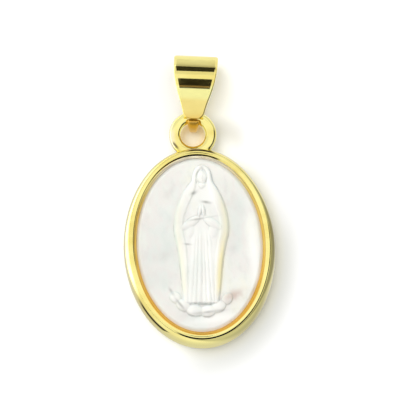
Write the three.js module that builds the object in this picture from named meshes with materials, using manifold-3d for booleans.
// Religious medal pendant: an oval bezel frame with its ring, a carved mother-of-pearl
// plaque held under the frame's lip, and a bail folded from a tapered strip.
// Units are millimetres. The medal lies on its back: +Z is up, +Y points to the bail,
// and the origin is the centre of the frame's flat back.
import * as THREE from 'three';
import { mergeVertices } from 'three/addons/utils/BufferGeometryUtils.js';
import Module from 'manifold-3d';

// Bezel frame
const FRAME_WIDTH = 15.16;
const FRAME_LENGTH = 20.42;
const FRAME_HEIGHT = 2.3;
const WALL_ROUND = 0.72; // width of the rounded outer wall, from the base to the crest
const CREST_WIDTH = 0.08;
const BEVEL_WIDTH = 0.48;
const BEVEL_DROP = 0.45;
const LIP_THICKNESS = 0.12;
const BACK_THICKNESS = 0.4;

// Plaque and its seat
const LIP_OVERLAP = 0.2; // how far the plaque reaches under the lip
const SEAT_CLEARANCE = 0.05;
const FIELD_RISE = 0.14; // height of the carved field over the plaque's edge
const FIELD_ROUND = 0.4; // width of the rounded shoulder between them
const FIGURE_HEIGHT = 14.1;
const FIGURE_RELIEF = 0.36;
const HEM_BELOW_CENTRE = 5.9;
const FIGURE_ASIDE = 0.2;
const FIGURE_TILT = THREE.MathUtils.degToRad(-3.4);
const WAVE_HEIGHT = 0.03;
const WAVE_LENGTH = 3.1;

// Ring, cast in one piece with the frame
const RING_HOLE = 2.4;
const RING_WIRE = 1.18;
const RING_FOOT = 0.1; // metal between the frame's outline and the hole

// Bail
const BAIL_REACH = 8.05; // from the ring's centre to the far end
const BAIL_HEIGHT = 3.8;
const BAIL_WIDTH = 4.44;
const BAIL_THICKNESS = 0.4;
const BAIL_SHOULDER = 0.32; // width of the rounded edge of the outer face
const SHOULDER_DROP = 0.18;
const BAIL_TURN = THREE.MathUtils.degToRad(5.9);
const CREST_RADIUS = 1.65; // bend of the strip's middle line over the top
const CREST_EASE = THREE.MathUtils.degToRad(6.5); // rise of the strip where that bend starts
const SLOPE = THREE.MathUtils.degToRad(40); // fall of the strip behind the crest
const LEAF_OVERHANG = 0.45; // how far the front leaf passes the middle of the ring's wire
const LEAF_CORNER = 0.35;
const LEAF_CLEARANCE = 0.44;
const WIRE_CLEARANCE = 0.2;
const SEAM_GAP = 0.05;
const FOLD_SLACK = 0.35;
const FOLD_RADIUS = 0.3;
const FOLD_WIDTH = 0.75;
const HOOK_WIDTH = 1.15;

// Steps of the faceted surfaces
const ROUND_STEPS = 96;
const WALL_STEPS = 6;
const PLAQUE_STEPS = 54;
const RING_STEPS = 40;
const WIRE_STEPS = 14;

const halfWidth = FRAME_WIDTH / 2;
const halfLength = FRAME_LENGTH / 2;
const crestInset = WALL_ROUND + CREST_WIDTH;
const openingInset = crestInset + BEVEL_WIDTH;
const plaqueInset = openingInset - LIP_OVERLAP;
const lipTop = FRAME_HEIGHT - BEVEL_DROP;
const lipUnderside = lipTop - LIP_THICKNESS;
const plaqueBottom = BACK_THICKNESS + SEAT_CLEARANCE;
const plaqueEdgeTop = lipUnderside - SEAT_CLEARANCE;
const wireRadius = RING_WIRE / 2;
const ringRadius = RING_HOLE / 2 + wireRadius;
const ringCentreY = halfLength + RING_FOOT + RING_HOLE / 2;
const wireHeight = BAIL_THICKNESS + WIRE_CLEARANCE + wireRadius;

const wasm = await Module();
wasm.setup();

function clamp(value) {
  return Math.min(1, Math.max(0, value));
}

function smoothstep(low, high, value) {
  const t = clamp((value - low) / (high - low));
  return t * t * (3 - 2 * t);
}

// Value of one column of a table at a place along its first column, on a smooth curve
// through the rows.
function lookup(table, place, column) {
  const key = Object.keys(table[0])[0];
  const last = table.length - 1;
  const after = table.findIndex((row) => row[key] >= place);
  const i = after < 0 ? last - 1 : Math.max(0, after - 1);
  const [before, low, high, beyond] = [Math.max(0, i - 1), i, i + 1, Math.min(last, i + 2)]
    .map((index) => table[index]);
  const span = high[key] - low[key];
  const t = clamp((place - low[key]) / span);
  const startSlope = (span * (high[column] - before[column])) / (high[key] - before[key]);
  const endSlope = (span * (beyond[column] - low[column])) / (beyond[key] - low[key]);
  const toHigh = t * t * (3 - 2 * t);
  return (1 - toHigh) * low[column] + toHigh * high[column]
    + t * (1 - t) * ((1 - t) * startSlope - t * endSlope);
}

function geometryFrom(points, faces) {
  const geometry = new THREE.BufferGeometry();
  geometry.setAttribute('position', new THREE.Float32BufferAttribute(points.flat(), 3));
  geometry.setIndex(faces.flat());
  return geometry;
}

// Closed solid through rings of equally many points, with a fan over each end.
function loft(rings) {
  const count = rings[0].length;
  const points = rings.flat();
  const faces = [];
  for (let r = 0; r + 1 < rings.length; r += 1) {
    for (let i = 0; i < count; i += 1) {
      const next = (i + 1) % count;
      const [a, b] = [r * count + i, r * count + next];
      faces.push([a, b, b + count], [a, b + count, a + count]);
    }
  }
  const last = (rings.length - 1) * count;
  for (let i = 1; i + 1 < count; i += 1) {
    faces.push([0, i + 1, i], [last, last + i, last + i + 1]);
  }
  return geometryFrom(points, faces);
}

// Oval ring of points, drawn in from the frame's outline by an inset.
function ovalRing({ inset, z }) {
  return Array.from({ length: ROUND_STEPS }, (_, i) => {
    const angle = (2 * Math.PI * i) / ROUND_STEPS;
    return [(halfWidth - inset) * Math.cos(angle), (halfLength - inset) * Math.sin(angle), z];
  });
}

function toSolid(geometry) {
  const bare = geometry.clone();
  bare.deleteAttribute('normal');
  bare.deleteAttribute('uv');
  const merged = mergeVertices(bare, 1e-4);
  const vertProperties = new Float32Array(merged.attributes.position.array);
  const triVerts = new Uint32Array(merged.index.array);
  return new wasm.Manifold(new wasm.Mesh({ numProp: 3, vertProperties, triVerts }));
}

function toGeometry(solid) {
  const mesh = solid.getMesh();
  const geometry = new THREE.BufferGeometry();
  geometry.setAttribute('position', new THREE.BufferAttribute(mesh.vertProperties, 3));
  geometry.setIndex(new THREE.BufferAttribute(mesh.triVerts, 1));
  return geometry;
}

// The frame: a rounded outer wall up to the crest, a bevel down to the lip, an
// undercut seat for the plaque, a closed flat back, and the ring.
function bezelFrameGeometry() {
  const wall = Array.from({ length: WALL_STEPS + 1 }, (_, i) => {
    const angle = (Math.PI / 2) * (i / WALL_STEPS);
    return { inset: WALL_ROUND * (1 - Math.cos(angle)), z: FRAME_HEIGHT * Math.sin(angle) };
  });
  const block = toSolid(loft(wall.map(ovalRing)));
  const aboveFrame = FRAME_HEIGHT + BEVEL_DROP;
  const seatInset = plaqueInset - SEAT_CLEARANCE;
  const hollow = toSolid(loft([
    { inset: seatInset, z: BACK_THICKNESS },
    { inset: seatInset, z: lipUnderside },
    { inset: openingInset, z: lipUnderside },
    { inset: openingInset, z: lipTop },
    { inset: crestInset, z: FRAME_HEIGHT },
    { inset: crestInset, z: aboveFrame },
  ].map(ovalRing)));
  const torus = new THREE.TorusGeometry(ringRadius, wireRadius, WIRE_STEPS, RING_STEPS);
  const ring = toSolid(torus.translate(0, ringCentreY, wireHeight));
  return toGeometry(block.add(ring).subtract(hollow));
}

// Outline of the mantle and the edge of its opening, from hem to crown, as shares of
// the figure's height.
const MANTLE = [
  { up: -0.02, left: 0.128, right: 0.124, opening: 0.098 },
  { up: 0.0, left: 0.13, right: 0.126, opening: 0.098 },
  { up: 0.12, left: 0.14, right: 0.14, opening: 0.1 },
  { up: 0.3, left: 0.157, right: 0.155, opening: 0.104 },
  { up: 0.42, left: 0.178, right: 0.176, opening: 0.116 },
  { up: 0.52, left: 0.196, right: 0.196, opening: 0.134 },
  { up: 0.61, left: 0.193, right: 0.191, opening: 0.13 },
  { up: 0.7, left: 0.174, right: 0.17, opening: 0.1 },
  { up: 0.78, left: 0.143, right: 0.14, opening: 0.068 },
  { up: 0.84, left: 0.106, right: 0.106, opening: 0.05 },
  { up: 0.88, left: 0.078, right: 0.08, opening: 0.046 },
  { up: 0.92, left: 0.069, right: 0.071, opening: 0.044 },
  { up: 0.95, left: 0.062, right: 0.064, opening: 0.034 },
  { up: 0.975, left: 0.047, right: 0.049, opening: 0.012 },
  { up: 0.99, left: 0.031, right: 0.032, opening: 0.0 },
  { up: 1.0, left: 0.004, right: 0.004, opening: 0.0 },
];

// Robe folds: where each ridge stands at the hem and at the waist, its width and height.
const FOLDS = [
  { hem: -0.084, waist: -0.046, width: 0.016, height: 0.16 },
  { hem: -0.05, waist: -0.027, width: 0.014, height: 0.2 },
  { hem: -0.014, waist: -0.006, width: 0.016, height: 0.24 },
  { hem: 0.024, waist: 0.012, width: 0.014, height: 0.19 },
  { hem: 0.056, waist: 0.028, width: 0.015, height: 0.22 },
  { hem: 0.088, waist: 0.05, width: 0.013, height: 0.14 },
];

// Rounded forms by centre, half sizes, turn and height: upper sleeves, hanging
// sleeves, hands, head and neck.
const BODY_FORMS = [
  { side: -0.078, up: 0.575, across: 0.078, along: 0.031, turn: 0.62, height: 0.34, power: 0.6 },
  { side: 0.078, up: 0.575, across: 0.078, along: 0.031, turn: -0.62, height: 0.34, power: 0.6 },
  { side: -0.082, up: 0.52, across: 0.03, along: 0.055, turn: -0.12, height: 0.2, power: 0.7 },
  { side: 0.082, up: 0.52, across: 0.03, along: 0.055, turn: 0.12, height: 0.2, power: 0.7 },
  { side: -0.0115, up: 0.665, across: 0.0135, along: 0.043, turn: -0.16, height: 0.42, power: 0.5 },
  { side: 0.0115, up: 0.665, across: 0.0135, along: 0.043, turn: 0.16, height: 0.42, power: 0.5 },
  { side: 0.003, up: 0.912, across: 0.036, along: 0.049, turn: 0.07, height: 0.6, power: 0.5 },
  { side: 0.002, up: 0.855, across: 0.022, along: 0.028, turn: 0, height: 0.26, power: 0.6 },
];

// The cloud under the hem, lobe by lobe.
const CLOUD_LOBES = [
  { side: -0.185, up: 0.035, across: 0.046, along: 0.04, turn: -0.9, height: 0.5, power: 0.5 },
  { side: -0.128, up: -0.022, across: 0.056, along: 0.043, turn: -0.5, height: 0.62, power: 0.5 },
  { side: -0.045, up: -0.06, across: 0.068, along: 0.043, turn: -0.15, height: 0.7, power: 0.5 },
  { side: 0.045, up: -0.063, across: 0.062, along: 0.042, turn: 0.1, height: 0.68, power: 0.5 },
  { side: 0.12, up: -0.03, across: 0.056, along: 0.043, turn: 0.45, height: 0.62, power: 0.5 },
  { side: 0.182, up: 0.028, across: 0.046, along: 0.038, turn: 0.9, height: 0.5, power: 0.5 },
];

function formHeight(form, side, up) {
  const [ds, du] = [side - form.side, up - form.up];
  const across = (ds * Math.cos(form.turn) + du * Math.sin(form.turn)) / form.across;
  const along = (du * Math.cos(form.turn) - ds * Math.sin(form.turn)) / form.along;
  return form.height * clamp(1 - across * across - along * along) ** form.power;
}

// The mantle, its raised borders, the recess of the hood and the pleated robe inside.
function garmentHeight(side, up) {
  const out = Math.abs(side) / lookup(MANTLE, up, side < 0 ? 'left' : 'right');
  if (out >= 1 || up > 1) return 0;
  const opening = lookup(MANTLE, up, 'opening');
  const fromHem = smoothstep(-0.02, 0, up);
  const body = 0.6 * Math.sqrt(1 - out ** 4);
  const border = 0.2 * smoothstep(opening - 0.01, opening + 0.006, Math.abs(side));
  const inHood = smoothstep(0.85, 0.88, up) * (1 - smoothstep(0.95, 0.975, up));
  const hood = -0.25 * inHood * (1 - smoothstep(opening - 0.012, opening, Math.abs(side)));
  const onSkirt = 1 - smoothstep(0.44, 0.54, up);
  const inSkirt = onSkirt * (1 - smoothstep(opening - 0.016, opening, Math.abs(side)));
  const ridges = FOLDS.map((fold) => {
    const middle = fold.hem + (fold.waist - fold.hem) * clamp(up / 0.5) ** 0.8;
    return fold.height * Math.exp(-(((side - middle) / fold.width) ** 2));
  });
  const drape = (border + hood + inSkirt * Math.max(...ridges)) * (1 - smoothstep(0.88, 1, out));
  return (body + drape) * fromHem;
}

// Height of the veiled figure and its cloud over the field, as a share of the relief.
function figureShare(side, up) {
  const body = Math.max(...BODY_FORMS.map((form) => formHeight(form, side, up)));
  const cloud = Math.max(...CLOUD_LOBES.map((lobe) => formHeight(lobe, side, up)));
  return Math.max(garmentHeight(side, up) + body, cloud);
}

function plaqueTop(x, y) {
  const [a, b] = [halfWidth - plaqueInset, halfLength - plaqueInset];
  const ratio = Math.hypot(x / a, y / b);
  const fromEdge = ratio > 0 ? (1 / ratio - 1) * Math.hypot(x, y) : Math.min(a, b);
  const rise = smoothstep(LIP_OVERLAP, LIP_OVERLAP + FIELD_ROUND, fromEdge);
  const [dx, dy] = [x - FIGURE_ASIDE, y];
  const side = (dx * Math.cos(FIGURE_TILT) + dy * Math.sin(FIGURE_TILT)) / FIGURE_HEIGHT;
  const height = dy * Math.cos(FIGURE_TILT) - dx * Math.sin(FIGURE_TILT);
  const up = (height + HEM_BELOW_CENTRE) / FIGURE_HEIGHT;
  const phase = (2 * Math.PI) / WAVE_LENGTH;
  const waves = Math.sin(phase * (y + 0.5 * x)) * Math.cos(0.6 * phase * x) * WAVE_HEIGHT;
  return plaqueEdgeTop + rise * (FIELD_RISE + waves + FIGURE_RELIEF * figureShare(side, up));
}

// The plaque: a square grid drawn onto the oval carries the carving, over straight
// sides and a flat underside.
function pearlPlaqueGeometry() {
  const [a, b] = [halfWidth - plaqueInset, halfLength - plaqueInset];
  const size = PLAQUE_STEPS + 1;
  const points = [];
  for (let row = 0; row < size; row += 1) {
    for (let column = 0; column < size; column += 1) {
      const [u, v] = [(2 * column) / PLAQUE_STEPS - 1, (2 * row) / PLAQUE_STEPS - 1];
      const x = a * u * Math.sqrt(1 - (v * v) / 2);
      const y = b * v * Math.sqrt(1 - (u * u) / 2);
      points.push([x, y, plaqueTop(x, y)]);
    }
  }
  const faces = [];
  for (let row = 0; row < PLAQUE_STEPS; row += 1) {
    for (let column = 0; column < PLAQUE_STEPS; column += 1) {
      const corner = row * size + column;
      faces.push([corner, corner + 1, corner + size + 1], [corner, corner + size + 1, corner + size]);
    }
  }
  const rim = [];
  for (let i = 0; i < PLAQUE_STEPS; i += 1) rim.push(i);
  for (let i = 0; i < PLAQUE_STEPS; i += 1) rim.push(i * size + PLAQUE_STEPS);
  for (let i = PLAQUE_STEPS; i > 0; i -= 1) rim.push(PLAQUE_STEPS * size + i);
  for (let i = PLAQUE_STEPS; i > 0; i -= 1) rim.push(i * size);
  const base = points.length;
  rim.forEach((index) => points.push([points[index][0], points[index][1], plaqueBottom]));
  const centre = points.length;
  points.push([0, 0, plaqueBottom]);
  rim.forEach((index, i) => {
    const next = (i + 1) % rim.length;
    faces.push([base + i, base + next, rim[next]], [base + i, rim[next], index]);
    faces.push([base + next, base + i, centre]);
  });
  return geometryFrom(points, faces);
}

// Width of the bail's front leaf and back leg, by distance from the ring's centre,
// as shares of the bail's reach and width.
const LEAF_WIDTHS = [
  { reach: 0.168, width: 0.417 },
  { reach: 0.344, width: 0.595 },
  { reach: 0.471, width: 0.76 },
  { reach: 0.591, width: 0.878 },
  { reach: 0.733, width: 0.965 },
  { reach: 1.0, width: 1.0 },
];
const LEG_WIDTHS = [
  { reach: 0.08, width: 0.169 },
  { reach: 0.2, width: 0.23 },
  { reach: 0.5, width: 0.6 },
  { reach: 0.78, width: 0.92 },
  { reach: 1.0, width: 1.0 },
];
// Where the flat leaf ends and the crest stands, as shares of the bail's reach, and how
// far the leaf has risen to the crest's height by its end.
const LOOP = { leafEnd: 0.522, leafRise: 0.809, crest: 0.667 };

// Side line of the strip, from the leaf's tip over the loop, back along the surface,
// and up round the ring's wire. x is the distance from the ring's centre and y the height.
function bailLine() {
  const half = BAIL_THICKNESS / 2;
  const offset = (point, x, y) => new THREE.Vector2(point.x + x, point.y + y);
  const onCircle = (centre, radius, angle) => (
    offset(centre, radius * Math.cos(angle), radius * Math.sin(angle)));
  const arc = (centre, radius, start, end) => (
    new THREE.EllipseCurve(centre.x, centre.y, radius, radius, start, end, true));
  const crest = new THREE.Vector2(BAIL_REACH * LOOP.crest, BAIL_HEIGHT - half);
  const tip = new THREE.Vector2(
    ringRadius - LEAF_OVERHANG,
    wireHeight + wireRadius + LEAF_CLEARANCE + half,
  );
  const leafEnd = new THREE.Vector2(
    BAIL_REACH * LOOP.leafEnd,
    tip.y + (crest.y - tip.y) * LOOP.leafRise,
  );
  const rising = leafEnd.clone().sub(tip).normalize();
  const crestCentre = offset(crest, 0, -CREST_RADIUS);
  const [crestStart, crestEnd] = [Math.PI / 2 + CREST_EASE, Math.PI / 2 - SLOPE];
  const bendFrom = onCircle(crestCentre, CREST_RADIUS, crestStart);
  const bendTo = onCircle(crestCentre, CREST_RADIUS, crestEnd);
  const drop = Math.tan(SLOPE);
  const turnRadius = (bendTo.y - half - drop * (BAIL_REACH - half - bendTo.x))
    / (1 + Math.cos(SLOPE) - drop * (1 - Math.sin(SLOPE)));
  const turnCentre = new THREE.Vector2(BAIL_REACH - half - turnRadius, half + turnRadius);
  const turnFrom = onCircle(turnCentre, turnRadius, crestEnd);
  const softness = (bendFrom.x - leafEnd.x) / 3;
  const hookRadius = wireRadius + WIRE_CLEARANCE + half;
  const foldX = ringRadius - wireRadius - FOLD_SLACK - half;
  const foldCentre = new THREE.Vector2(foldX + FOLD_RADIUS, half + FOLD_RADIUS);
  const hookStart = (3 * Math.PI) / 4;
  const hookEnd = Math.acos(-(LEAF_OVERHANG + SEAM_GAP) / hookRadius);
  const wire = new THREE.Vector2(ringRadius, wireHeight);
  const hookFrom = onCircle(wire, hookRadius, hookStart);
  const foldTop = new THREE.Vector2(foldX, foldCentre.y);
  const rise = (hookFrom.y - foldTop.y) / 3;
  const legFront = new THREE.Vector2(foldCentre.x, half);
  const back = new THREE.Vector2(turnCentre.x, half);
  return [
    { curve: new THREE.LineCurve(tip, leafEnd), steps: 10, leg: 'leaf' },
    {
      curve: new THREE.CubicBezierCurve(
        leafEnd,
        leafEnd.clone().addScaledVector(rising, softness),
        offset(bendFrom, -softness * Math.cos(CREST_EASE), -softness * Math.sin(CREST_EASE)),
        bendFrom,
      ),
      steps: 3,
      leg: 'leaf',
    },
    { curve: arc(crestCentre, CREST_RADIUS, crestStart, crestEnd), steps: 6, leg: 'leaf' },
    { curve: new THREE.LineCurve(bendTo, turnFrom), steps: 1, leg: 'leaf' },
    { curve: arc(turnCentre, turnRadius, crestEnd, 0), steps: 5, leg: 'leaf' },
    { curve: arc(turnCentre, turnRadius, 0, -Math.PI / 2), steps: 7, leg: 'back' },
    { curve: new THREE.LineCurve(back, legFront), steps: 6, leg: 'back' },
    { curve: arc(foldCentre, FOLD_RADIUS, -Math.PI / 2, -Math.PI), steps: 5, leg: 'fold' },
    {
      curve: new THREE.CubicBezierCurve(
        foldTop,
        offset(foldTop, 0, rise),
        offset(hookFrom, -rise * Math.SQRT1_2, -rise * Math.SQRT1_2),
        hookFrom,
      ),
      steps: 5,
      leg: 'hook',
    },
    { curve: arc(wire, hookRadius, hookStart, hookEnd), steps: 3, leg: 'end' },
  ];
}

function bailWidthAt(leg, x, t) {
  if (leg === 'leaf') {
    const width = BAIL_WIDTH * lookup(LEAF_WIDTHS, x / BAIL_REACH, 'width');
    const fromTip = Math.min(LEAF_CORNER, x - (ringRadius - LEAF_OVERHANG));
    const cut = LEAF_CORNER - Math.sqrt(LEAF_CORNER ** 2 - (LEAF_CORNER - fromTip) ** 2);
    return width - 2 * cut;
  }
  if (leg === 'back') return BAIL_WIDTH * lookup(LEG_WIDTHS, x / BAIL_REACH, 'width');
  if (leg === 'fold') return FOLD_WIDTH;
  if (leg === 'hook') return FOLD_WIDTH + (HOOK_WIDTH - FOLD_WIDTH) * t;
  return HOOK_WIDTH;
}

// The bail: the strip's section, flat inside and with rounded shoulders outside,
// carried along the side line in the bail's own upright plane.
function bailGeometry() {
  const along = new THREE.Vector3(Math.sin(BAIL_TURN), Math.cos(BAIL_TURN), 0);
  const across = new THREE.Vector3(Math.cos(BAIL_TURN), -Math.sin(BAIL_TURN), 0);
  const up = new THREE.Vector3(0, 0, 1);
  const centre = new THREE.Vector3(0, ringCentreY, 0);
  const half = BAIL_THICKNESS / 2;
  const line = bailLine();
  const sections = line.flatMap(({ curve, steps, leg }, index) => {
    const stations = Array.from({ length: steps + 1 }, (_, i) => i / steps);
    if (index > 0) stations.shift();
    return stations.map((even) => {
      const t = index === 0 ? even ** 1.6 : even;
      const point = curve.getPoint(t);
      const tangent = curve.getTangent(t);
      const width = bailWidthAt(leg, point.x, t);
      const shoulder = Math.min(BAIL_SHOULDER, width * 0.3);
      const outline = [
        [-width / 2, half - SHOULDER_DROP],
        [-width / 2 + shoulder, half],
        [width / 2 - shoulder, half],
        [width / 2, half - SHOULDER_DROP],
        [width / 2, -half],
        [-width / 2, -half],
      ];
      return outline.map(([side, out]) => centre
        .clone()
        .addScaledVector(across, side)
        .addScaledVector(along, point.x - tangent.y * out)
        .addScaledVector(up, point.y + tangent.x * out)
        .toArray());
    });
  });
  return loft(sections);
}

const gold = new THREE.MeshStandardMaterial({ color: 0xe9c65f, roughness: 0.12, metalness: 1 });
const pearl = new THREE.MeshStandardMaterial({ color: 0xf1f1eb, roughness: 0.25, metalness: 0 });

function namedMesh(name, geometry, material) {
  const mesh = new THREE.Mesh(geometry, material);
  mesh.name = name;
  return mesh;
}

const group = new THREE.Group();
group.add(namedMesh('bezel_frame', bezelFrameGeometry(), gold));
group.add(namedMesh('pearl_plaque', pearlPlaqueGeometry(), pearl));
group.add(namedMesh('bail', bailGeometry(), gold));

export default group;
